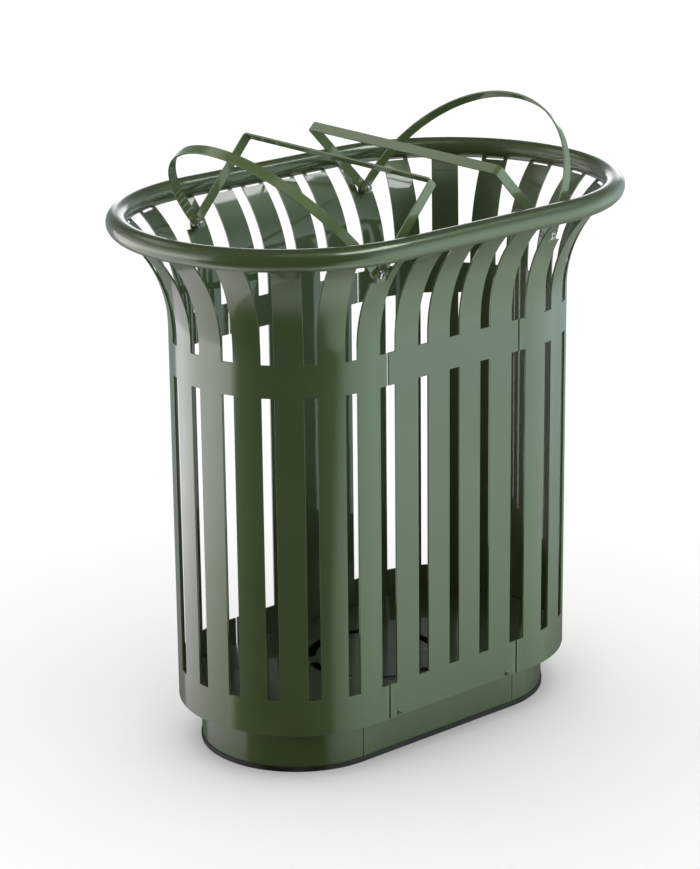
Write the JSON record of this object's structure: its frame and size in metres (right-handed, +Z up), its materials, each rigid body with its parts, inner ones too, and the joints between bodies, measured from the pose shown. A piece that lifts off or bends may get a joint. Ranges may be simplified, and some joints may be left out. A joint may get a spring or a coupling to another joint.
{
  "type": "litter bin",
  "caption": "Oval slotted sheet-steel litter bin with a flared mouth, round tube rim, recessed plinth and folding bag hoops.",
  "frame": {"origin": "centre of the foot, on the ground", "axes": "+Z up, +X along the bin's length, +Y across its depth; the front panel faces -Y"},
  "size_m": [0.8776, 0.5576, 0.9707],
  "materials": {
    "green_paint": "gloss",
    "zinc": "satin",
    "rubber": "matte"
  },
  "bodies": {
    "basket": {"front_panel": "green_paint", "back_panel": "green_paint", "left_end_panel": "green_paint", "right_end_panel": "green_paint", "top_rim": "green_paint", "floor_plate": "green_paint", "plinth_front": "green_paint", "plinth_back": "green_paint", "plinth_left_end": "green_paint", "plinth_right_end": "green_paint", "rubber_edging": "rubber", "panel_screws": "green_paint", "panel_nuts": "zinc", "pivot_bolts": "zinc", "pivot_washers": "zinc", "pivot_nuts": "zinc"},
    "left_end_hoop": {"left_end_hoop": "green_paint"},
    "left_centre_hoop": {"left_centre_hoop": "green_paint"},
    "right_centre_hoop": {"right_centre_hoop": "green_paint"},
    "right_end_hoop": {"right_end_hoop": "green_paint"}
  },
  "joints": [
    {"name": "left_end_hoop_fold", "type": "hinge", "parent": "basket", "child": "left_end_hoop", "pos_m": [-0.174, 0, 0.797], "axis": [0, 1, 0], "range_deg": [-44, 28]},
    {"name": "left_centre_hoop_fold", "type": "hinge", "parent": "basket", "child": "left_centre_hoop", "pos_m": [-0.174, 0, 0.797], "axis": [0, -1, 0], "range_deg": [-41, 31]},
    {"name": "right_centre_hoop_fold", "type": "hinge", "parent": "basket", "child": "right_centre_hoop", "pos_m": [0.174, 0, 0.797], "axis": [0, 1, 0], "range_deg": [-39, 33]},
    {"name": "right_end_hoop_fold", "type": "hinge", "parent": "basket", "child": "right_end_hoop", "pos_m": [0.174, 0, 0.797], "axis": [0, -1, 0], "range_deg": [-43, 29]}
  ]
}
